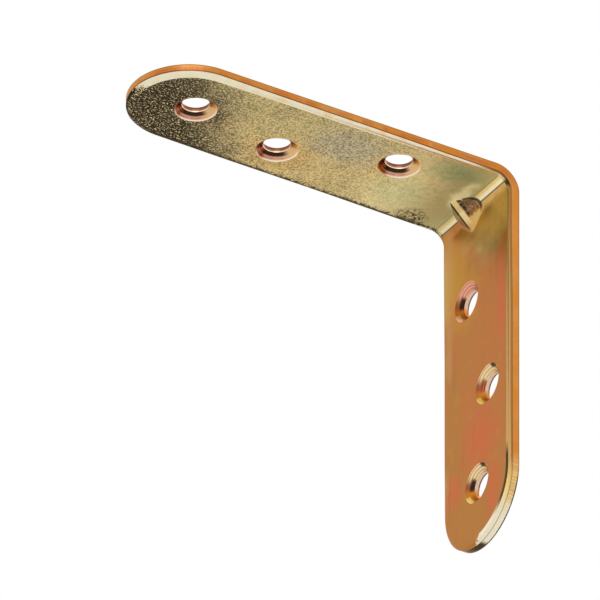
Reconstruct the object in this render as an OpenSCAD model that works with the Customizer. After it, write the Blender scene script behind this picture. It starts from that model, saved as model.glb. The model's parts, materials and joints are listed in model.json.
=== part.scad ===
// Angle bracket: one strip of steel, folded square, with round ends, three
// staggered countersunk screw holes in each leg and a pressed rib in the corner.
// Millimetres. The origin is the sharp outer corner, midway across the strip.
// One leg runs along -X with its outer face at z = 0, the other runs along -Z
// with its outer face at x = 0. The screws go in from the inside of the angle.

/* [Strip] */
// Length of each leg, from the sharp outer corner to its round tip
leg_len = 80; // [74:1:120]
// Width of the strip
strip_w = 24.5; // [20:0.5:30]
// Thickness of the strip
strip_t = 2.3; // [2:0.1:4]

/* [Fold] */
// Inside radius of the fold
fold_r = 3; // [2:0.1:4.5]

/* [Rolled edge] */
// Width of the rolled edge, on the inner face
roll_w = 0.9; // [0.4:0.1:1.4]
// Depth of the rolled edge, down the side of the strip
roll_d = 0.45; // [0.2:0.05:0.8]

/* [Screw holes] */
// Diameter of the screw holes
hole_d = 5.5; // [4.5:0.1:6]
// Diameter of the countersinks at the inner face
sink_d = 8.3; // [7.5:0.1:9.5]
// Angle of the countersinks
sink_angle = 100; // [82:1:120]
// Distance from the outer corner to the first hole
first_hole = 22.4; // [20:0.1:25]
// Distance from the first hole to the second one
hole_pitch = 23.1; // [20:0.1:25]
// Distance from the round tip to the last hole
tip_margin = 13.6; // [10:0.1:15]
// How far the first two holes sit to either side of the hole line
stagger = 3.8; // [0:0.1:5]
// How far the hole line sits from the middle of the strip
line_shift = -0.3; // [-1:0.1:1]

/* [Corner rib] */
// Distance from the inside corner to where the rib meets each leg
rib_run = 5; // [4.5:0.1:7]
// Slope of the rib's two flanks
rib_slope = 31; // [22:1:36]
// Radius of the rib's crest
crest_r = 1.4; // [0.4:0.1:2]
// How far the rib sits from the middle of the strip
rib_shift = 1.1; // [-2:0.1:2]

/* [Hidden] */
$fn = 96;
// Extra length of a cut past the face that it opens
past = 1;
// Outside radius of the fold
fold_out = fold_r + strip_t;
// Distance from the corner to the centre of the round tip
tip_centre = leg_len - strip_w / 2;
// Radius of the rolled edge's arc, which leaves the inner face without a step
roll_r = (roll_w * roll_w + roll_d * roll_d) / (2 * roll_d);
// Depth of the countersink's cone
sink_depth = (sink_d - hole_d) / 2 / tan(sink_angle / 2);
// Distance from the outer corner to the crest of the rib, along the diagonal
crest_out = (2 * strip_t + rib_run) / sqrt(2);
// Distance from the outer corner to the bottom of the dent behind the rib
dent_out = crest_out - strip_t;
// Distance from the outer corner to the middle of the folded metal
core_out = fold_out * (sqrt(2) - 1) + strip_t / 2;

// What the rolled edge takes from one side of the strip's section
module rolled_corner() {
    translate([strip_w / 2 - roll_w, strip_t]) difference() {
        translate([0, -roll_d]) square([roll_w + past, roll_d + past]);
        translate([0, -roll_r]) circle(r = roll_r);
    }
}

// Section of the strip: X across it, Y from the outer face to the inner one
module strip_section() {
    difference() {
        translate([-strip_w / 2, 0]) square([strip_w, strip_t]);
        rolled_corner();
        mirror([1, 0]) rolled_corner();
    }
}

// One half of the section, which turns about the middle of the round tip
module half_section() {
    intersection() {
        strip_section();
        square([strip_w / 2, strip_t]);
    }
}

// Screw hole and its countersink, with the axis on Z and the outer face at 0
module screw_hole() {
    translate([0, 0, -strip_t - past]) cylinder(d = hole_d, h = strip_t + 2 * past);
    translate([0, 0, -strip_t]) cylinder(d1 = sink_d, d2 = hole_d, h = sink_depth);
    translate([0, 0, -strip_t - past]) cylinder(d = sink_d, h = past);
}

// The holes of one leg: the first two stand on either side of the hole line
module hole_row(side) {
    places = [
        [first_hole, line_shift + side * stagger],
        [first_hole + hole_pitch, line_shift - side * stagger],
        [leg_len - tip_margin, line_shift]
    ];
    for (p = places) translate([-p[0], p[1], 0]) screw_hole();
}

// One straight leg with its round tip, along -X. side is 1 or -1, and says
// on which side of the hole line the first hole stands.
module leg(side) {
    difference() {
        union() {
            translate([-fold_out, 0, 0]) rotate([0, -90, 0]) rotate([0, 0, 90])
                linear_extrude(tip_centre - fold_out) strip_section();
            translate([-tip_centre, 0, 0]) rotate([0, 0, 90])
                rotate_extrude(angle = 180) mirror([0, 1]) half_section();
        }
        hole_row(side);
    }
}

// The fold: the same section turned through a quarter circle
module fold() {
    translate([-fold_out, 0, -fold_out]) rotate([90, 0, 0])
        rotate_extrude(angle = 90)
            translate([fold_out, 0]) rotate([0, 0, 90]) strip_section();
}

// Section of a ridge with sloping flanks and a round crest. The crest is on
// the X axis's positive side, at the distance top, and the foot is at foot.
module ridge_section(top, foot) {
    tangent_x = top - crest_r + crest_r * cos(rib_slope);
    tangent_y = crest_r * sin(rib_slope);
    foot_y = tangent_y + (tangent_x - foot) / tan(rib_slope);
    polygon([[foot, -foot_y], [tangent_x, -tangent_y], [tangent_x, tangent_y], [foot, foot_y]]);
    translate([top - crest_r, 0]) circle(r = crest_r);
}

// The ridge as a bar that crosses the corner, at 45 degrees to both legs
module ridge_bar(top, foot) {
    reach = 2 * crest_out + 2 * past;
    translate([0, rib_shift, 0]) rotate([0, 135, 0]) translate([0, 0, -reach / 2])
        linear_extrude(reach) ridge_section(top, foot);
}

// The rib inside the corner, cut off within the thickness of both legs
module rib() {
    intersection() {
        ridge_bar(crest_out, core_out);
        translate([-leg_len - strip_t / 2, -strip_w / 2, -leg_len - strip_t / 2])
            cube([leg_len, strip_w, leg_len]);
    }
}

module bracket() {
    color("goldenrod") difference() {
        union() {
            leg(-1);
            mirror([1, 0, -1]) leg(1);
            fold();
            rib();
        }
        ridge_bar(dent_out, -past);
    }
}

bracket();
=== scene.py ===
import json
from math import cos, pi, radians, sin, sqrt, tan

import bmesh
import bpy
from bpy.props import FloatProperty, FloatVectorProperty, PointerProperty
from bpy.types import Operator, Panel, PropertyGroup
from mathutils import Matrix, Vector


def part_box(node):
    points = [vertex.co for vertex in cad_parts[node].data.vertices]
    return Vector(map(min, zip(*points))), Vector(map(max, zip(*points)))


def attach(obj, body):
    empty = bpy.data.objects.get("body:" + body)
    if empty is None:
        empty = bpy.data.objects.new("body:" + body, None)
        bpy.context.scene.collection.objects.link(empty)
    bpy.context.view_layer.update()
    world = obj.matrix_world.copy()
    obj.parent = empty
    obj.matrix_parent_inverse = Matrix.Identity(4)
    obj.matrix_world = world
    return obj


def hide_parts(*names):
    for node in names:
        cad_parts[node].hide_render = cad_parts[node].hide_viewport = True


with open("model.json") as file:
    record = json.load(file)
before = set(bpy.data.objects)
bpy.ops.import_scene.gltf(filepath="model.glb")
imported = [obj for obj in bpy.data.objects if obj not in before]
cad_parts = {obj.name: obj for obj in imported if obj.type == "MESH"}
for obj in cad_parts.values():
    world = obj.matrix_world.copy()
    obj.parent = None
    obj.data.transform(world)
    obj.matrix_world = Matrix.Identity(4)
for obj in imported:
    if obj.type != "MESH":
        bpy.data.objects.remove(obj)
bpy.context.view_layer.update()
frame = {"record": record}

bl_info = {
    "name": "Angle Bracket",
    "version": (1, 0, 0),
    "blender": (4, 5, 0),
    "location": "View3D > Sidebar > Bracket",
    "description": "Folded steel angle bracket with countersunk holes and a pressed corner rib",
    "category": "Object",
}

LOW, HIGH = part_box("bracket")
MM = 0.001

# Places closer together than this are the same one
CLOSE = 1e-6
# Steps round a screw hole, and round the half circle of a tip
ROUND_STEPS = 72
# Columns along the strip and rows across it, in the grid that takes the fold and the rib
GRID_COLUMNS, GRID_ROWS = 56, 98
# How far that grid goes past the fold on either side
GRID_MARGIN = 3.8 * MM
# Cuts in each long side of a leg
SIDE_CUTS = 30
# Levels on the arc of the rolled edge
ROLL_STEPS = 7
# The last levels, counted from the outer face, of the sheared edge and of a hole's wall
EDGE_LEVELS, WALL_LEVELS = 4, 5
# The rolled edge has its own finish on the near side, up to here across the strip
ROLL_REACH = 1.5 * MM
# Faces that meet at more than this angle keep a sharp edge
SHARP = radians(32)
# Material slots of the mesh
FACE, ROLL, EDGE, SINK, WALL = range(5)

# The camera: its turn about the upright axis, its lift, the width of what it sees,
# and where the frame's origin lies in a picture of so many pixels
CAMERA_TURN, CAMERA_LIFT = radians(-31.96), radians(-33.1)
CAMERA_WIDTH = 0.1161
CAMERA_DISTANCE = 0.25
PICTURE = 600
ORIGIN_RIGHT, ORIGIN_DOWN = 486.1, 199.6
# The lamps: name, direction from the bracket, width in metres, radiance
LAMPS = (
    ("key_lamp", (-0.44, -0.71, 0.56), 0.4, 0.8),
    ("right_lamp", (0.7, 0.3, 0.6), 0.3, 0.8),
)
LAMP_DISTANCE = 0.6
BRACKET_MIDDLE = (-0.03, 0, -0.03)
FLOOR_DROP, FLOOR_WIDTH = 0.22, 3
FLOOR_COLOUR = (0.82, 0.82, 0.81, 1)


def length(name, description, default, least=0.0):
    """A size in metres, shown in the scene's units."""
    return FloatProperty(name=name, description=description, default=default,
                         min=least, unit="LENGTH", precision=5)


def angle(name, description, default):
    """An angle, given in degrees and kept in radians."""
    return FloatProperty(name=name, description=description, default=radians(default), subtype="ANGLE")


def colour(name, description, default):
    """A colour of the plating, as scene linear values."""
    return FloatVectorProperty(name=name, description=description, default=default,
                               subtype="COLOR", min=0.0, max=1.0)


class BracketSizes(PropertyGroup):
    """Sizes of the bracket, the same as those of the frame"""
    leg_length: length("Leg Length", "From the sharp outer corner to the round tip", HIGH.x - LOW.x)
    strip_width: length("Strip Width", "Width of the strip", HIGH.y - LOW.y)
    thickness: length("Thickness", "Thickness of the strip", 2.3 * MM)
    fold_radius: length("Fold Radius", "Inside radius of the fold", 3 * MM)
    hole_diameter: length("Hole Diameter", "Diameter of the screw holes", 5.5 * MM)
    sink_diameter: length("Countersink Diameter", "Diameter of the countersinks at their rim", 8.3 * MM)
    sink_angle: angle("Countersink Angle", "Angle between the sides of the countersinks", 100)
    roll_tip: length("Roll at Tip", "Width of the rolled edge round the tips", 1.4 * MM)
    roll_middle: length("Roll at Middle", "Width of the rolled edge halfway along a leg", 1.15 * MM)
    roll_corner: length("Roll at Corner", "Width of the rolled edge beside the fold", 0.75 * MM)
    edge_break: length("Edge Break", "Width of the broken edge round the outer face", 0.12 * MM)
    rib_run: length("Rib Run", "From the inside corner to where the rib meets each leg", 5 * MM)
    rib_slope: angle("Rib Slope", "Slope of the rib's flanks", 31)
    crest_radius: length("Crest Radius", "Radius of the rib's crest", 1.4 * MM)
    rib_shift: length("Rib Shift", "From the middle of the strip to the rib", 1.1 * MM, -2 * MM)
    rib_blend: length("Rib Blend", "How softly the rib leaves the folded metal", 0.35 * MM)


class BracketColours(PropertyGroup):
    """Colours of the yellow zinc plating"""
    gold: colour("Gold", "The plating's own colour", (0.68, 0.44, 0.18))
    khaki: colour("Khaki", "The near side of the grained leg", (0.65, 0.52, 0.23))
    sand: colour("Sand", "The far side of the grained leg", (0.80, 0.60, 0.26))
    amber: colour("Amber", "Bright gold round the holes and on the rib", (0.94, 0.66, 0.22))
    straw: colour("Straw", "Pale specks among the dark grain", (0.84, 0.69, 0.38))
    ash: colour("Ash", "Dull patch of the grained leg, between two holes", (0.52, 0.47, 0.32))
    # Wheat and lemon paint the reflection that brightens the grained leg towards the fold
    wheat: colour("Wheat", "The grained leg towards the corner", (1.0, 0.86, 0.44))
    lemon: colour("Lemon", "The grained leg beside the fold", (1.0, 0.95, 0.50))
    butter: colour("Butter", "Worn patch beside the rib's end", (1.0, 0.95, 0.62))
    # The next two colours paint the highlight along the fold, on its upper and its lower side
    fold_glow: colour("Flax", "Upper side of the fold's burnished line", (1.0, 0.80, 0.38))
    fold_sheen: colour("Pearl", "Lower side of the fold's burnished line", (1.0, 0.90, 0.60))
    # Besides the dark grain and real dark lines, this colour paints shade and dark reflection: the free end,
    # the far edge, the rib, the fold's creases and the countersinks
    stain_and_shade: colour("Stain", "The dark grain and the dark lines", (0.022, 0.015, 0.009))
    ochre: colour("Ochre", "The smooth face of the other leg", (0.47, 0.20, 0.052))
    moss: colour("Moss", "Green tint of the smooth leg beside the corner", (0.34, 0.27, 0.08))
    lime: colour("Lime", "Green tint of the grained leg beside the corner", (0.60, 0.68, 0.33))
    honey: colour("Honey", "Yellow tint of the smooth leg", (0.53, 0.27, 0.040))
    pink: colour("Pink", "Red tint of the plating", (0.62, 0.145, 0.060))
    # Rust also paints the dark reflection on the rib's near flank and the shade inside the screw holes
    rust: colour("Rust", "Brown lines and the rib's flank", (0.19, 0.060, 0.026))
    orange: colour("Orange", "The sheared edge", (0.62, 0.215, 0.026))
    # Cream is mostly painted highlight: on the rolled edges, the rib's crest, the holes' rims and walls, and
    # bright specks of the grain
    cream: colour("Cream", "The rolled edge, worn bright", (0.89, 0.81, 0.60))
    copper: colour("Copper", "The countersinks", (0.66, 0.30, 0.19))
    shell: colour("Shell", "Bright rim of the grained leg's countersinks", (1.0, 0.82, 0.66))
    coral: colour("Coral", "The smooth leg's first countersink", (0.86, 0.41, 0.29))
    peach: colour("Peach", "Shine in the smooth leg's first countersink", (1.0, 0.62, 0.40))
    brass: colour("Brass", "Shine in the smooth leg's other countersinks", (1.0, 0.76, 0.22))


class Plan:
    """Lengths that follow from the sizes, with the flat strip centred on the middle of the fold"""

    def __init__(self, size):
        self.size = size
        self.half = size.strip_width / 2
        self.outer = size.fold_radius + size.thickness
        self.arc = (size.fold_radius + size.thickness / 2) * pi / 4
        self.spine = size.leg_length - self.half - self.outer + self.arc
        self.zone = self.arc + GRID_MARGIN
        self.hole = size.hole_diameter / 2
        self.sink = size.sink_diameter / 2
        self.cone = size.thickness - (self.sink - self.hole) / tan(size.sink_angle / 2)
        self.crest = (2 * size.thickness + size.rib_run) / sqrt(2)
        self.places = [self.flat_place(m) for m in frame["record"]["mounts"] if m["kind"] == "bore"]

    def flat_place(self, mount):
        """Centre of a screw hole on the flat strip."""
        x, y, z = mount["pos_m"]
        run = max(-x, -z) - self.outer + self.arc
        return Vector((-run if -x > -z else run, y, 0))

    def roll(self, along):
        """Width and depth of the rolled edge at a place along the strip."""
        s, size = abs(along), self.size
        wide = mix(size.roll_corner, size.roll_middle, ease(s, self.zone, self.spine * 0.5))
        wide = mix(wide, size.roll_tip, ease(s, self.spine * 0.72, self.spine + self.half * 0.4))
        return wide, wide * 0.5


def ease(value, start, end):
    """0 before start, 1 after end, and a smooth step between them."""
    t = min(max((value - start) / (end - start), 0), 1)
    return t * t * (3 - 2 * t)


def mix(a, b, t):
    """The value that lies the share t of the way from a to b."""
    return a + (b - a) * t


def soft_floor(value, blend):
    """The value where it is above zero and zero below, rounded over the blend."""
    if value <= -blend:
        return 0.0
    return value if value >= blend else (value + blend) ** 2 / (4 * blend)


def rim_levels(plan, along):
    """(depth, set back from the outline) of the strip's side, from the outer face to the inner one."""
    t, edge = plan.size.thickness, plan.size.edge_break
    wide, deep = plan.roll(along)
    radius = (wide ** 2 + deep ** 2) / (2 * deep)
    levels = [(0, edge), (edge * 0.35, edge * 0.35), (edge, 0), (t * 0.3, 0.02 * MM), (t - deep, 0)]
    for k in range(1, ROLL_STEPS + 1):
        x = wide * (1 - (1 - k / ROLL_STEPS) ** 1.35)
        levels.append((t - radius + sqrt(radius ** 2 - (wide - x) ** 2), x))
    return levels + [(t, wide + 0.25 * MM)]


def hole_levels(plan):
    """(depth, radius) of a screw hole's wall and its countersink, at the same levels as the side."""
    t, slope = plan.size.thickness, tan(plan.size.sink_angle / 2)
    lip = 0.07 * MM

    def on_cone(depth):
        return depth, plan.hole + (depth - plan.cone) * slope

    return [
        (0, plan.hole + 0.1 * MM), (0.03 * MM, plan.hole + 0.03 * MM), (0.1 * MM, plan.hole),
        (plan.cone - 2.5 * lip, plan.hole), (plan.cone - lip, plan.hole),
        (plan.cone - lip * 0.3, plan.hole + lip * 0.1), (plan.cone + lip * 0.2, plan.hole + lip * 0.42),
        on_cone(plan.cone + lip * 0.7), on_cone(t - 1.6 * lip), on_cone(t - 0.6 * lip),
        (t - lip * 0.2, plan.sink - lip * 0.05), (t, plan.sink + lip * 0.8), (t, plan.sink + 4 * lip),
    ]


def flat_sheet(plan):
    """The strip's outline with its round tips and holes, filled, and a fine grid where the fold will be."""
    bm = bmesh.new()
    bmesh.ops.create_grid(bm, x_segments=GRID_COLUMNS, y_segments=GRID_ROWS, size=0.5)
    bmesh.ops.scale(bm, vec=(2 * plan.zone, 2 * plan.half, 1), verts=bm.verts)
    for side in (-1, 1):
        seam_x, tip = side * plan.zone, side * plan.spine
        for y in (-plan.half, plan.half):
            edge = bm.edges.new([bm.verts.new((x, y, 0)) for x in (seam_x, tip)])
            bmesh.ops.subdivide_edges(bm, edges=[edge], cuts=SIDE_CUTS)
        start = bm.verts.new((tip, plan.half, 0))
        bmesh.ops.spin(bm, geom=[start], cent=(tip, 0, 0), axis=(0, 0, 1),
                       angle=-side * pi, steps=ROUND_STEPS)
        for place in plan.places:
            if place.x * side > 0:
                bmesh.ops.create_circle(bm, cap_ends=False, radius=plan.hole, segments=ROUND_STEPS,
                                        matrix=Matrix.Translation(place))
        bmesh.ops.remove_doubles(bm, verts=bm.verts, dist=CLOSE)
        seam = [e for e in bm.edges if all(abs(v.co.x - seam_x) < CLOSE for v in e.verts)]
        loops = [e for e in bm.edges if not e.link_faces] + seam
        bmesh.ops.triangle_fill(bm, use_beauty=True, use_dissolve=False, edges=loops, normal=(0, 0, 1))
    bmesh.ops.recalc_face_normals(bm, faces=bm.faces)
    return bm


def thicken(bm, plan):
    """Raises the sheet level by level, which gives the sides their rolled edge and the holes their cones."""
    base = bm.verts.layers.float_vector.new("base")
    around = bm.verts.layers.float_vector.new("around")
    above_edge = bm.verts.layers.float.new("above_edge")
    level = bm.faces.layers.int.new("level")
    for v in bm.verts:
        v[base] = v.co
    rims = {}
    holes = hole_levels(plan)

    def settle(verts, k):
        for v in verts:
            flat = v[base]
            if round(flat.x, 7) not in rims:
                rims[round(flat.x, 7)] = rim_levels(plan, flat.x)
            depth, back = rims[round(flat.x, 7)][k]
            v[above_edge] = (depth - plan.size.thickness + plan.roll(flat.x)[1]) / MM
            foot = Vector((min(max(flat.x, -plan.spine), plan.spine), 0, 0))
            out = flat - foot
            near = min(plan.places, key=lambda p: (flat - p).length)
            if abs(out.length - plan.half) < 2 * CLOSE:
                v.co = foot + out.normalized() * (plan.half - back) + Vector((0, 0, depth))
            elif abs((flat - near).length - plan.hole) < 2 * CLOSE:
                depth, radius = holes[k]
                v[around] = (flat - near).normalized()
                v.co = near + v[around] * radius + Vector((0, 0, depth))
            else:
                v.co = (flat.x, flat.y * (1 - back / plan.half), depth)

    settle(bm.verts, 0)
    made = [*bm.verts, *bm.edges, *bm.faces]
    for k in range(1, len(holes)):
        before = set(bm.faces)
        made = bmesh.ops.extrude_face_region(bm, geom=made)["geom"]
        settle([g for g in made if isinstance(g, bmesh.types.BMVert)], k)
        for f in bm.faces:
            if f not in before:
                f[level] = k
    for f in made:
        if isinstance(f, bmesh.types.BMFace):
            f[level] = len(holes)
    return base, level, len(holes)


def fold_and_press(bm, plan):
    """Bends the strip square about the fold's centre, then presses the rib in from the outer corner."""
    blank = bm.verts.layers.float_vector.new("blank")
    pressed = bm.verts.layers.float.new("pressed")
    rib_side = bm.verts.layers.float.new("rib_side")
    inward = Vector((-1, 0, -1)).normalized()
    size = plan.size
    tangent = size.crest_radius * sin(size.rib_slope)
    drop = size.crest_radius * (1 - cos(size.rib_slope))
    for v in bm.verts:
        s, y, depth = v.co
        v[blank] = v.co
        if s < -plan.arc:
            v.co = (s + plan.arc - plan.outer, y, -depth)
        elif s > plan.arc:
            v.co = (-depth, y, plan.arc - plan.outer - s)
        else:
            turn = (1 - s / plan.arc) * pi / 4
            reach = plan.outer - depth
            v.co = (reach * cos(turn) - plan.outer, y, reach * sin(turn) - plan.outer)
        across = abs(y - size.rib_shift)
        if across < tangent:
            fall = size.crest_radius - sqrt(size.crest_radius ** 2 - across ** 2)
        else:
            fall = drop + (across - tangent) * tan(size.rib_slope)
        push = soft_floor(plan.crest - size.thickness + depth - fall - v.co.dot(inward), size.rib_blend)
        v.co += inward * push
        v[pressed] = push / MM
        v[rib_side] = (y - size.rib_shift) / MM


def lay_finishes(bm, plan, base, level, count):
    """Gives each face its material slot, by its level and its place on the flat strip."""
    for f in bm.faces:
        f.smooth = True
        middle = sum((v[base] for v in f.verts), Vector()) / len(f.verts)
        if f[level] in (0, count - 1, count):
            f.material_index = FACE
        elif min((middle - p).length for p in plan.places) < plan.hole + 10 * CLOSE:
            f.material_index = WALL if f[level] <= WALL_LEVELS else SINK
        elif f[level] <= EDGE_LEVELS:
            f.material_index = EDGE
        else:
            f.material_index = ROLL if middle.y < ROLL_REACH or abs(middle.x) < plan.zone else FACE


def feed(tree, socket, value):
    """Links an input to a socket, or sets it to a value."""
    if isinstance(value, bpy.types.NodeSocket):
        tree.links.new(value, socket)
    else:
        socket.default_value = value


def node(tree, kind, inputs=None, **settings):
    """A shader node with its settings and what feeds its inputs."""
    made = tree.nodes.new("ShaderNode" + kind)
    for key, value in settings.items():
        setattr(made, key, value)
    for key, value in (inputs or {}).items():
        feed(tree, made.inputs[key], value)
    return made


class Finish:
    """A metal finish in the making, with patterns that follow the flat strip, in millimetres"""

    def __init__(self, name):
        self.material = bpy.data.materials.new(name)
        self.material.use_nodes = True
        self.tree = self.material.node_tree
        self.tree.nodes.clear()
        metal = {"Metallic": 1.0, "Specular Tint": (0.85, 0.75, 0.65, 1)}
        self.shader = node(self.tree, "BsdfPrincipled", metal)
        out = node(self.tree, "OutputMaterial")
        self.tree.links.new(self.shader.outputs[0], out.inputs[0])
        self.strip = self.vectors("SCALE", self.attribute("blank", "Vector"), Scale=1 / MM)
        self.along, self.across, self.depth = node(self.tree, "SeparateXYZ", {0: self.strip}).outputs
        noise = node(self.tree, "TexNoise", {"Vector": self.strip, "Scale": 0.35, "Detail": 3.0})
        wobble = self.vectors("SUBTRACT", noise.outputs["Color"], (0.5, 0.5, 0.5))
        self.wobble = self.vectors("SCALE", wobble, Scale=4.0)

    def attribute(self, name, output="Fac"):
        """A value kept on the mesh."""
        return node(self.tree, "Attribute", attribute_name=name).outputs[output]

    def vectors(self, operation, a, b=(0, 0, 0), output="Vector", **inputs):
        """One step of vector arithmetic."""
        return node(self.tree, "VectorMath", {0: a, 1: b, **inputs}, operation=operation).outputs[output]

    def maths(self, operation, *values):
        """The values put together two by two, from the first on."""
        total = values[0]
        for value in values[1:]:
            total = node(self.tree, "Math", {0: total, 1: value}, operation=operation).outputs[0]
        return total

    def times(self, *values):
        """Several amounts multiplied."""
        return self.maths("MULTIPLY", *values)

    def plus(self, *values):
        """Several amounts added."""
        return self.maths("ADD", *values)

    def most(self, *values):
        """The largest of several amounts."""
        return self.maths("MAXIMUM", *values)

    def sway(self, noise, reach):
        """Noise spread evenly to both sides of zero, in millimetres."""
        return self.times(self.maths("SUBTRACT", noise, 0.5), reach)

    def between(self, value, low, high, start=0.0, end=1.0):
        """Maps a value smoothly from one range to another."""
        ends = {"Value": value, "From Min": low, "From Max": high, "To Min": start, "To Max": end}
        return node(self.tree, "MapRange", ends, interpolation_type="SMOOTHSTEP").outputs[0]

    def band(self, value, low, high, soft):
        """1 between low and high, with soft ends."""
        return self.times(self.between(value, low - soft, low), self.between(value, high + soft, high))

    def cloud(self, scale, detail=3.0, roughness=0.55, stretch=(1, 1, 1)):
        """Noise from 0 to 1, with its scale in cycles per millimetre."""
        vector = node(self.tree, "Mapping", {"Vector": self.strip, "Scale": stretch}).outputs[0]
        inputs = {"Vector": vector, "Scale": scale, "Detail": detail, "Roughness": roughness}
        return node(self.tree, "TexNoise", inputs).outputs["Fac"]

    def blot(self, along, across, long, wide):
        """A soft patch with an uneven outline, centred on a place of the flat strip."""
        place = self.vectors("ADD", self.strip, self.wobble)
        place = self.vectors("SUBTRACT", place, (along, across, 0))
        place = self.vectors("MULTIPLY", place, (1 / long, 1 / wide, 0))
        return self.between(self.vectors("LENGTH", place, output="Value"), 1.15, 0.25)

    def blots(self, *patches):
        """Several soft patches as one amount."""
        return self.most(*(self.blot(*patch) for patch in patches))

    def facing(self, along, across):
        """1 on the side of a hole that lies in that direction from its centre, -1 on the other side."""
        turn = self.attribute("around", "Vector")
        return self.vectors("DOT_PRODUCT", turn, (along, across, 0), "Value")

    def blend(self, amount, a, b):
        """A value between two others."""
        return node(self.tree, "Mix", {0: amount, 2: a, 3: b}, data_type="FLOAT").outputs[0]

    def tint(self, amount, a, b):
        """A colour between two others."""
        made = node(self.tree, "Mix", {0: amount}, data_type="RGBA")
        for socket, value in ((made.inputs[6], a), (made.inputs[7], b)):
            feed(self.tree, socket, value if isinstance(value, bpy.types.NodeSocket) else (*value, 1))
        return made.outputs[2]

    def done(self, base, rough, height, strength, distance=0.05 * MM):
        """Joins colour, roughness and relief to the shader."""
        bump = node(self.tree, "Bump", {"Strength": strength, "Distance": distance, "Height": height})
        feed(self.tree, self.shader.inputs["Base Color"], base)
        feed(self.tree, self.shader.inputs["Roughness"], rough)
        feed(self.tree, self.shader.inputs["Normal"], bump.outputs[0])
        return self.material


def outer_face(f, shade, clouds, fine):
    """Outer faces: plain gold with faint tints, light grain and a few scuffs."""
    base = f.tint(f.between(clouds, 0.35, 0.7, 0.0, 0.7), shade.gold, shade.khaki)
    base = f.tint(f.between(f.cloud(0.05, 2.0), 0.5, 0.7, 0.0, 0.25), base, shade.pink)
    green = f.cloud(0.07, 2.0, 0.5, (1, 1.6, 1))
    base = f.tint(f.between(green, 0.52, 0.7, 0.0, 0.3), base, shade.moss)
    drawn = f.cloud(1.6, 3.0, 0.6, (0.05, 1, 1))
    base = f.tint(f.between(drawn, 0.5, 0.75, 0.0, 0.2), base, shade.ochre)
    base = f.tint(f.between(fine, 0.55, 0.35, 0.0, 0.16), base, shade.stain_and_shade)
    scuffs = f.cloud(0.9, 4.0, 0.7, (0.12, 1.0, 1.0))
    return f.tint(f.between(scuffs, 0.58, 0.72, 0.0, 0.35), base, shade.straw)


def grained_leg(f, shade, places, clouds, coarse, fine):
    """The first leg: grained, with painted dark reflection at its free end that clears towards the fold."""
    s, y = f.along, f.across
    drift = f.sway(clouds, 30.0)
    lean = f.plus(s, drift, f.times(y, -0.6))
    # Painted dark reflection, strongest at the free end
    dark = f.between(lean, -49.0, -70.0)

    # The metal under the grain, with gold rings round the holes
    side = f.plus(y, f.times(s, 0.15), f.times(drift, 0.3))
    light = f.tint(f.between(side, -15.0, 1.0), shade.khaki, shade.sand)
    halos = f.blots(*((p.x / MM + 0.8, p.y / MM + 0.8, 8.5, 7.0) for p in places if p.x < 0))
    light = f.tint(f.times(halos, 0.9), light, f.tint(0.3, shade.amber, shade.orange))
    light = f.tint(f.times(f.blot(-32.0, -4.5, 11.0, 7.0), 0.85), light, shade.ash)
    light = f.tint(dark, light, shade.straw)

    # The dark grain, which covers more of the free end, where painted dark reflection deepens it
    grain = f.plus(f.times(coarse, 0.25), f.times(fine, 0.75))
    cover = f.between(lean, -44.0, -66.0, 0.44, 0.585)
    speck = f.between(f.maths("SUBTRACT", grain, cover), 0.02, -0.025)
    deep = f.tint(dark, f.tint(0.55, light, shade.stain_and_shade), shade.stain_and_shade)
    base = f.tint(f.times(speck, f.between(lean, -36.0, -64.0, 0.42, 1.0)), light, deep)

    # Painted reflection that brightens the leg towards the fold, with a green tint of the plating near the
    # corner
    base = f.tint(f.between(s, -30.0, -8.0, 0.0, 0.95), base, shade.wheat)
    green = f.most(f.blot(-9.5, -8.0, 7.5, 4.5), f.times(f.blot(-16.0, 3.0, 8.0, 6.0), 0.45))
    base = f.tint(f.times(green, 0.85), base, shade.lime)
    base = f.tint(f.between(s, -6.5, -2.0, 0.0, 0.9), base, shade.lemon)

    # Dark dust, painted glints on bright specks, a darker haze and a faint mottle
    dust = f.cloud(2.9, 2.0, 0.7)
    fleck = f.times(f.between(dust, 0.49, 0.42), f.between(s, -8.0, -26.0, 0.08, 0.44))
    base = f.tint(fleck, base, shade.stain_and_shade)
    haze = f.between(f.cloud(0.22, 4.0, 0.7), 0.55, 0.4, 0.0, 0.2)
    base = f.tint(f.times(haze, f.between(s, -12.0, -30.0)), base, shade.stain_and_shade)
    glint = f.times(f.between(dust, 0.51, 0.58), f.between(s, -8.0, -30.0, 0.2, 0.5),
                    f.between(lean, -62.0, -46.0, 0.2, 1.0))
    base = f.tint(glint, base, f.tint(0.4, shade.amber, shade.cream))
    mottle = f.between(f.cloud(0.8, 3.0, 0.7), 0.54, 0.4, 0.0, 0.14)
    base = f.tint(f.times(mottle, f.between(s, -4.0, -10.0)), base, shade.stain_and_shade)

    # A speckled smudge beside the fold, and painted dark reflection along the far edge: a ragged line on the
    # face and the far side of the rolled edge
    specks = f.between(f.plus(f.times(coarse, 0.7), f.times(fine, 0.3)), 0.54, 0.47)
    smudge = f.times(f.blot(-9.0, 9.6, 5.0, 3.6), specks)
    ragged = f.between(f.plus(y, f.sway(coarse, 3.0)), 10.6, 11.2)
    lip = f.between(f.attribute("above_edge"), 0.5, 0.2)
    return f.tint(f.times(f.most(smudge, ragged, lip), 0.9), base, shade.stain_and_shade)


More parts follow.
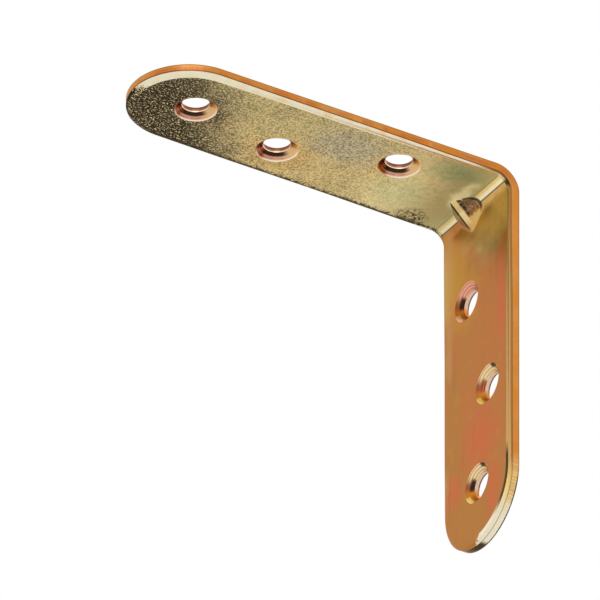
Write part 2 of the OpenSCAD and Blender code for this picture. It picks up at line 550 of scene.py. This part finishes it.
def smooth_leg(f, shade):
    """The second leg: smooth ochre with red, green and yellow tints and faint drawn lines."""
    y = f.across
    drift = f.cloud(0.07, 2.0, 0.5, (0.5, 1.3, 1.0))
    base = f.tint(f.between(drift, 0.42, 0.66, 0.0, 0.25), shade.ochre, shade.pink)
    pink = f.blots((26.0, -9.3, 14.0, 2.4), (55.0, -2.0, 9.0, 9.0),
                   (62.0, 8.0, 5.0, 3.5), (68.5, -6.0, 8.0, 3.0))
    base = f.tint(f.times(pink, 0.7), base, shade.pink)
    honey = f.blots((13.0, 8.0, 12.0, 6.0), (20.0, 4.0, 8.0, 6.0))
    base = f.tint(f.times(honey, 0.85), base, shade.honey)
    base = f.tint(f.times(f.blot(9.0, -5.5, 8.0, 6.0), 0.65), base, f.tint(0.25, shade.moss, shade.lime))
    base = f.tint(f.times(f.blot(5.0, -7.0, 8.0, 13.0), 0.9), base, f.tint(0.8, shade.moss, shade.amber))
    base = f.tint(f.times(f.between(y, 7.0, 12.0), f.between(drift, 0.45, 0.6), 0.35), base, shade.khaki)
    base = f.tint(f.between(f.cloud(0.35, 3.0, 0.6), 0.56, 0.7, 0.0, 0.3), base, shade.pink)
    base = f.tint(f.between(f.cloud(0.3, 3.0, 0.6), 0.44, 0.3, 0.0, 0.3), base, shade.honey)
    drawn = f.cloud(0.5, 3.0, 0.6, (0.08, 1, 1))
    return f.tint(f.between(drawn, 0.52, 0.75, 0.0, 0.12), base, shade.stain_and_shade)


def fold_line(f, shade, base, pressed):
    """A painted highlight along the fold, with a thin line of painted shade at the crease on either side."""
    s, y = f.along, f.across
    plain = f.between(pressed, 0.2, 0.03)
    fold_highlight = f.times(f.band(s, -1.7, -0.35, 0.5), plain, f.between(y, 14.0, -8.0, 0.5, 1.0))
    base = f.tint(fold_highlight, base, f.tint(f.between(s, -1.5, -0.7), shade.fold_glow, shade.fold_sheen))
    # Painted shade in the creases on either side of the fold
    crease = f.most(f.band(s, 0.12, 0.2, 0.2), f.times(f.band(s, -2.2, -2.1, 0.2), 0.3))
    return f.tint(f.times(crease, plain, 0.9), base, f.tint(0.5, shade.rust, shade.stain_and_shade))


def rib_marks(f, shade, base, pressed, coarse, fine):
    """The pressed rib: a painted highlight on the crest, painted dark reflection on the flanks, and painted
    shade round its foot, with dark nicks beside it.
    """
    s, off = f.along, f.attribute("rib_side")
    risen = f.between(pressed, 0.1, 0.3)
    upper = f.between(f.plus(s, f.sway(coarse, 3.0)), 2.2, 0.6)
    # Masks: painted dark reflection on both flanks, a painted highlight on the crest, painted shade round
    # the foot, and dark nicks
    near_flank = f.times(f.between(off, -0.75, -1.15), risen, upper, f.between(fine, 0.35, 0.6, 1.0, 0.65))
    far_flank = f.times(f.between(off, 0.3, 0.5), f.between(pressed, 0.05, 0.2),
                        f.between(s, 5.2, 3.0, 0.4, 0.97))
    crest = f.times(f.band(off, -0.75, 0.4, 0.25), f.between(pressed, 0.15, 0.6), f.between(s, 4.6, 1.0))
    foot = f.times(f.band(pressed, 0.1, 0.24, 0.08), f.between(off, -1.7, -2.3), f.between(s, 3.0, 0.8))
    nicks = f.times(f.band(off, -1.35, -1.05, 0.3), risen,
                    f.between(coarse, 0.46, 0.52), f.between(s, 1.8, 0.6))
    apron = f.times(f.blot(-4.3, -1.6, 2.3, 6.0), f.between(s, -2.6, -3.4), 0.9)

    base = f.tint(apron, base, shade.butter)
    base = f.tint(f.times(crest, 0.8), base, f.tint(0.65, shade.cream, shade.amber))
    base = f.tint(near_flank, base, shade.rust)
    base = f.tint(f.times(f.most(foot, nicks), 0.85), base, shade.stain_and_shade)
    brown = f.tint(0.82, base, f.tint(0.4, shade.rust, shade.khaki))
    return f.tint(far_flank, base, f.tint(f.between(off, 1.0, 2.0), shade.stain_and_shade, brown))


def face_finish(shade, places):
    """Inner and outer faces, with the fold and the rib."""
    f = Finish("plated_face")
    s = f.along
    clouds = f.cloud(0.09, 4.0)
    coarse, fine = f.cloud(1.3, 2.0, 0.6), f.cloud(2.6, 1.5, 0.65)
    pressed = f.attribute("pressed")
    first = grained_leg(f, shade, places, clouds, coarse, fine)
    worked = f.tint(f.between(s, -0.3, 0.5), first, smooth_leg(f, shade))
    worked = fold_line(f, shade, worked, pressed)
    worked = rib_marks(f, shade, worked, pressed, coarse, fine)

    inner = f.between(f.depth, 0.6, 1.3)
    base = f.tint(inner, outer_face(f, shade, clouds, fine), worked)
    satin = f.plus(f.between(s, -17.0, -6.0, 0.42, 0.8), f.between(s, -1.6, -0.2, 0.0, -0.42))
    rough = f.blend(inner, f.between(clouds, 0.3, 0.7, 0.22, 0.36), satin)
    relief = f.times(f.plus(coarse, fine), f.between(s, -8.0, 1.0, 1.0, 0.08))
    return f.done(base, rough, relief, 0.45, 0.03 * MM)


def roll_finish(shade):
    """The rolled edge: a painted highlight in cream on the near side of one leg and on the other leg's tip,
    painted dark reflection on the far side, and dull elsewhere on the other leg.
    """
    f = Finish("rolled_edge")
    s, y = f.along, f.across
    streak = f.cloud(0.5, 3.0, 0.55, (0.6, 1.0, 3.0))
    above = f.attribute("above_edge")
    taper = f.plus(y, f.plus(f.sway(f.cloud(1.6, 2.0), 5.0), f.times(above, 3.0)))

    # Painted highlight in cream on the near side of the grained leg's rolled edge, with streaks of wear
    first = f.tint(f.between(s, -1.0, -9.0, 0.35, 1.0), shade.sand, shade.cream)
    wear_and_highlight = f.times(f.between(streak, 0.45, 0.65), f.between(s, -66.0, -50.0, 0.2, 0.6))
    first = f.tint(wear_and_highlight, first, shade.sand)
    # Painted dark reflection on the far side, as dark grain
    grain = f.tint(f.between(f.cloud(2.7, 1.5, 0.65), 0.5, 0.58), shade.stain_and_shade, shade.straw)
    first = f.tint(f.between(taper, -0.6, 0.6), first, grain)
    first = f.tint(f.times(f.between(above, 0.3, 0.12), f.between(s, -10.0, -3.0), 0.9), first, shade.rust)

    beside_fold, beyond = f.tint(0.35, shade.moss, shade.sand), f.tint(0.4, shade.ochre, shade.sand)
    dull = f.tint(f.between(s, 8.0, 40.0), beside_fold, beyond)
    dull = f.tint(f.between(above, 0.16, 0.3), f.tint(0.5, shade.rust, shade.ochre), dull)
    # Painted highlight at the tip of the smooth leg
    tip = f.most(f.between(s, 70.0, 76.0), f.between(streak, 0.5, 0.65))
    second = f.tint(f.between(s, 64.0, 73.0), dull, f.tint(tip, shade.amber, shade.cream))
    groove = f.times(f.between(above, 0.52, 0.58), f.between(s, 60.0, 64.0), f.between(s, 76.0, 72.0))
    second = f.tint(f.times(groove, 0.92), second, shade.stain_and_shade)
    second = f.tint(f.between(taper, 0.6, 1.8), second, shade.ochre)

    base = f.tint(f.between(s, -1.0, 1.0), first, second)
    base = f.tint(f.times(f.blot(0.6, -12.0, 1.8, 2.0), 0.9), base, shade.stain_and_shade)
    return f.done(base, 0.3, streak, 0.12)


def edge_finish(shade):
    """The sheared edge: a smooth orange band with a darker line on either side."""
    f = Finish("sheared_edge")
    s, y = f.along, f.across
    drag = f.cloud(1.0, 4.0, 0.55, (2.2, 2.2, 0.12))
    patch = f.cloud(0.12, 3.0)
    base = f.tint(f.between(patch, 0.4, 0.65, 0.0, 0.3), shade.orange, shade.gold)
    base = f.tint(f.between(drag, 0.52, 0.75, 0.0, 0.3), base, shade.pink)
    core = f.times(f.band(f.depth, 0.8, 1.3, 0.35), f.between(f.cloud(0.25, 2.0), 0.35, 0.6),
                   f.between(s, -2.0, 3.0, 0.55, 0.1))
    base = f.tint(core, base, f.tint(0.4, shade.pink, shade.rust))
    base = f.tint(f.between(s, 0.0, 6.0, 0.0, 0.35), base, f.tint(0.15, shade.orange, shade.amber))

    # The free end of the smooth leg: a painted highlight, gold then cream, on its near side, with dark nicks
    # past the tip
    wear_and_highlight = f.times(f.between(s, 62.0, 70.0), f.between(y, 2.0, -1.0))
    gilt = f.tint(f.between(drag, 0.4, 0.65), shade.gold, shade.amber)
    base = f.tint(wear_and_highlight, base, f.tint(f.between(s, 71.0, 76.0), gilt, shade.cream))
    night = f.times(f.between(s, 74.0, 77.0), f.band(y, 0.0, 5.0, 1.5))
    base = f.tint(f.times(night, 0.95), base, shade.stain_and_shade)

    # The torn line at the outer face and the dark line under the rolled edge
    torn = f.plus(f.depth, f.sway(drag, 0.35))
    base = f.tint(f.between(torn, 0.40, 0.2, 0.0, 0.55), base, f.tint(0.4, shade.rust, shade.moss))
    base = f.tint(f.times(f.between(torn, 0.36, 0.24), f.between(s, 66.0, 70.0), 0.85), base, shade.stain_and_shade)
    line = f.plus(f.attribute("above_edge"), f.between(s, -4.0, 3.0, 0.0, -0.14))
    base = f.tint(f.between(line, -0.4, -0.12, 0.0, 0.9), base, f.tint(0.3, shade.rust, shade.stain_and_shade))
    return f.done(base, f.between(drag, 0.3, 0.7, 0.26, 0.4), drag, 0.15)


def sink_finish(shade):
    """Countersinks: fine turned rings, copper and gold, with painted reflections that change round each
    hole, painted highlights, and painted dark reflection beside the hole on one side.
    """
    f = Finish("countersink")
    s, depth = f.along, f.depth
    inputs = {"Vector": f.strip, "Scale": 0.8, "Distortion": 1.2, "Detail": 2.0}
    rings = node(f.tree, "TexWave", inputs, wave_type="BANDS", bands_direction="Z").outputs["Fac"]
    ruby = f.tint(0.3, shade.rust, shade.pink)

    # The grained leg, where tints that turn with the side of the hole are painted reflection
    blush = f.tint(0.45, shade.copper, shade.cream)
    patch = f.between(f.cloud(0.45, 2.0), 0.4, 0.6)
    first = f.tint(patch, shade.copper, f.tint(0.4, shade.pink, shade.rust))
    first = f.tint(f.between(depth, 1.75, 2.1, 0.0, 0.6), first, blush)
    warm = f.between(f.facing(0.85, -0.53), 0.1, 0.8, 0.0, 0.8)
    first = f.tint(warm, first, f.tint(0.35, shade.amber, shade.copper))
    first = f.tint(f.between(f.facing(-0.85, 0.53), 0.3, 0.9, 0.0, 0.75), first, ruby)
    first = f.tint(f.between(f.facing(-0.53, -0.85), 0.2, 0.8, 0.0, 0.8), first, shade.rust)
    turned = f.times(f.between(rings, 0.45, 0.9), f.between(f.facing(0.45, 0.9), -0.2, 0.6), 0.5)
    first = f.tint(turned, first, blush)
    # Painted dark reflection beside the hole, on one side
    night = f.times(f.between(f.facing(0.3, 0.95), 0.45, 0.85), f.between(depth, 1.72, 1.55))
    first = f.tint(f.times(night, 0.97), first, shade.stain_and_shade)
    # Painted highlight on the rim
    rim = f.times(f.between(depth, 2.1, 2.18), f.between(f.facing(0.53, 0.85), -0.1, 0.5))
    first = f.tint(f.times(rim, 0.95), first, shade.shell)

    # The smooth leg, where the hole beside the fold is redder than the others, and tints that turn with the
    # side of the hole are painted reflection
    past_first = f.between(s, 30.0, 34.0)
    ruddy = f.tint(past_first, shade.coral, f.tint(0.45, shade.amber, shade.cream))
    brown = f.tint(0.3, shade.rust, shade.copper)
    second = f.tint(f.between(f.facing(-1.0, 0.0), 0.35, 0.8), brown, ruddy)
    second = f.tint(f.between(rings, 0.35, 0.9, 0.0, 0.5), second, f.tint(0.5, shade.rust, shade.pink))
    second = f.tint(f.between(f.facing(0.2, 0.98), 0.75, 0.95, 0.0, 0.8), second, ruby)
    second = f.tint(f.between(f.facing(0.75, 0.65), 0.45, 0.85), second, shade.orange)
    shine = f.times(f.between(f.facing(0.72, 0.7), 0.86, 0.98), f.between(depth, 1.6, 1.9))
    second = f.tint(shine, second, f.tint(past_first, shade.peach, shade.brass))
    # Painted dark reflection: a patch beside each hole, and a spot in the holes past the first
    night = f.times(f.between(f.facing(-0.4, 0.92), 0.86, 0.98), f.between(depth, 1.9, 1.6))
    veil = f.times(f.band(s, 38.0, 50.0, 2.0), f.between(rings, 0.2, 0.7, 0.35, 0.8))
    second = f.tint(f.times(night, 0.95), second, f.tint(veil, shade.stain_and_shade, shade.pink))
    spot = f.times(f.between(f.facing(-0.85, -0.53), 0.93, 0.99), past_first, f.between(depth, 1.7, 1.9))
    second = f.tint(f.times(spot, 0.95), second, shade.stain_and_shade)

    base = f.tint(f.between(s, -1.0, 1.0), first, second)
    return f.done(base, f.between(s, -1.0, 1.0, 0.22, 0.4), rings, 0.12)


def wall_finish(shade):
    """Walls of the screw holes: painted shade in dark red at the outer side, a painted highlight beside the
    countersink, and a painted orange reflection on one side in the smooth leg's holes.
    """
    f = Finish("hole_wall")
    drag = f.cloud(1.0, 3.0, 0.55, (3.0, 3.0, 0.3))
    dim = f.tint(f.between(f.depth, 0.3, 0.7), shade.rust, f.tint(0.35, shade.rust, shade.copper))
    first = f.tint(f.between(f.depth, 0.82, 0.92), dim, shade.cream)
    second = f.tint(f.between(f.depth, 0.2, 0.45), shade.rust, f.tint(0.5, shade.copper, shade.cream))
    second = f.tint(f.between(f.facing(0.75, 0.65), 0.3, 0.9), second, shade.orange)
    base = f.tint(f.between(f.along, -1.0, 1.0), first, second)
    base = f.tint(f.between(drag, 0.5, 0.7, 0.0, 0.3), base, shade.pink)
    return f.done(base, 0.25, drag, 0.2)


def as_object(name, bm):
    """An object of the scene from a bmesh, which is freed."""
    mesh = bpy.data.meshes.new(name)
    bm.to_mesh(mesh)
    bm.free()
    made = bpy.data.objects.new(name, mesh)
    bpy.context.scene.collection.objects.link(made)
    return made


class BRACKET_OT_bracket(Operator):
    """Make the folded strip with its holes, rolled edges and corner rib"""
    bl_idname = "bracket.make_bracket"
    bl_label = "Bracket"

    def execute(self, context):
        plan = Plan(context.scene.bracket_sizes)
        shade = context.scene.bracket_colours
        bm = flat_sheet(plan)
        base, level, count = thicken(bm, plan)
        fold_and_press(bm, plan)
        bmesh.ops.recalc_face_normals(bm, faces=bm.faces)
        lay_finishes(bm, plan, base, level, count)
        bm.verts.layers.float_vector.remove(base)
        if any(len(e.link_faces) != 2 for e in bm.edges):
            raise RuntimeError("the bracket's mesh has an open edge")
        piece = as_object("bracket_plated", bm)
        piece.data.materials.append(face_finish(shade, plan.places))
        for make in (roll_finish, edge_finish, sink_finish, wall_finish):
            piece.data.materials.append(make(shade))
        piece.data.set_sharp_from_angle(angle=SHARP)
        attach(piece, "root")
        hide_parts("bracket")
        return {"FINISHED"}


def pale_floor():
    """A wide matt floor, well below the bracket."""
    bm = bmesh.new()
    bmesh.ops.create_grid(bm, x_segments=1, y_segments=1, size=FLOOR_WIDTH)
    bmesh.ops.translate(bm, vec=(0, 0, -FLOOR_DROP), verts=bm.verts)
    floor = as_object("floor", bm)
    matt = bpy.data.materials.new("floor")
    matt.use_nodes = True
    paint = matt.node_tree.nodes["Principled BSDF"]
    paint.inputs["Base Color"].default_value = FLOOR_COLOUR
    paint.inputs["Roughness"].default_value = 0.8
    floor.data.materials.append(matt)
    return floor


def white_world():
    """White surroundings, as bright as white paper."""
    world = bpy.data.worlds.new("studio")
    world.use_nodes = True
    tree = world.node_tree
    tree.nodes.clear()
    back = node(tree, "Background", {"Color": (1, 1, 1, 1), "Strength": 1.0})
    out = node(tree, "OutputWorld")
    tree.links.new(back.outputs[0], out.inputs[0])
    return world


def area_light(name, way, size, radiance):
    """A soft square lamp that faces the bracket, as bright as a white wall times its radiance."""
    lamp = bpy.data.lights.new(name, "AREA")
    lamp.size, lamp.energy = size, radiance * pi * size ** 2
    made = bpy.data.objects.new(name, lamp)
    made.location = Vector(BRACKET_MIDDLE) + Vector(way) * LAMP_DISTANCE
    made.rotation_euler = (-Vector(way)).to_track_quat("-Z", "Y").to_euler()
    bpy.context.scene.collection.objects.link(made)


def photo_camera():
    """A parallel camera that looks up at the inside of the angle."""
    lens = bpy.data.cameras.new("camera")
    lens.type = "ORTHO"
    lens.ortho_scale = CAMERA_WIDTH
    camera = bpy.data.objects.new("camera", lens)
    level = cos(CAMERA_LIFT)
    back_way = Vector((sin(CAMERA_TURN) * level, -cos(CAMERA_TURN) * level, sin(CAMERA_LIFT)))
    camera.rotation_euler = back_way.to_track_quat("Z", "Y").to_euler()
    right = Vector((0, 0, 1)).cross(back_way).normalized()
    up = back_way.cross(right)
    step = CAMERA_WIDTH / PICTURE
    aside, above = (ORIGIN_RIGHT - PICTURE / 2) * step, (PICTURE / 2 - ORIGIN_DOWN) * step
    camera.location = back_way * CAMERA_DISTANCE - right * aside - up * above
    bpy.context.scene.collection.objects.link(camera)
    return camera


class BRACKET_OT_stage(Operator):
    """Set up the pale floor, the soft lamps, the white surroundings and the camera"""
    bl_idname = "bracket.make_stage"
    bl_label = "Stage"

    def execute(self, context):
        scene = context.scene
        scene.view_settings.view_transform = "Standard"
        pale_floor()
        scene.world = white_world()
        for lamp in LAMPS:
            area_light(*lamp)
        scene.camera = photo_camera()
        return {"FINISHED"}


class BRACKET_PT_sidebar(Panel):
    """Lists the steps and the values that they use"""
    bl_label = "Angle Bracket"
    bl_idname = "BRACKET_PT_sidebar"
    bl_space_type = "VIEW_3D"
    bl_region_type = "UI"
    bl_category = "Bracket"

    def draw(self, context):
        for group in (context.scene.bracket_sizes, context.scene.bracket_colours):
            box = self.layout.box()
            for name in group.__annotations__:
                box.prop(group, name)
        for step in STEPS:
            self.layout.operator(step.bl_idname)


STEPS = (BRACKET_OT_bracket, BRACKET_OT_stage)
CLASSES = (BracketSizes, BracketColours, *STEPS, BRACKET_PT_sidebar)


def register():
    for cls in CLASSES:
        bpy.utils.register_class(cls)
    bpy.types.Scene.bracket_sizes = PointerProperty(type=BracketSizes)
    bpy.types.Scene.bracket_colours = PointerProperty(type=BracketColours)


def unregister():
    del bpy.types.Scene.bracket_sizes
    del bpy.types.Scene.bracket_colours
    for cls in reversed(CLASSES):
        bpy.utils.unregister_class(cls)


def main():
    """Makes the bracket and its stage."""
    register()
    bpy.ops.bracket.make_bracket()
    bpy.ops.bracket.make_stage()


if __name__ == "__main__":
    main()
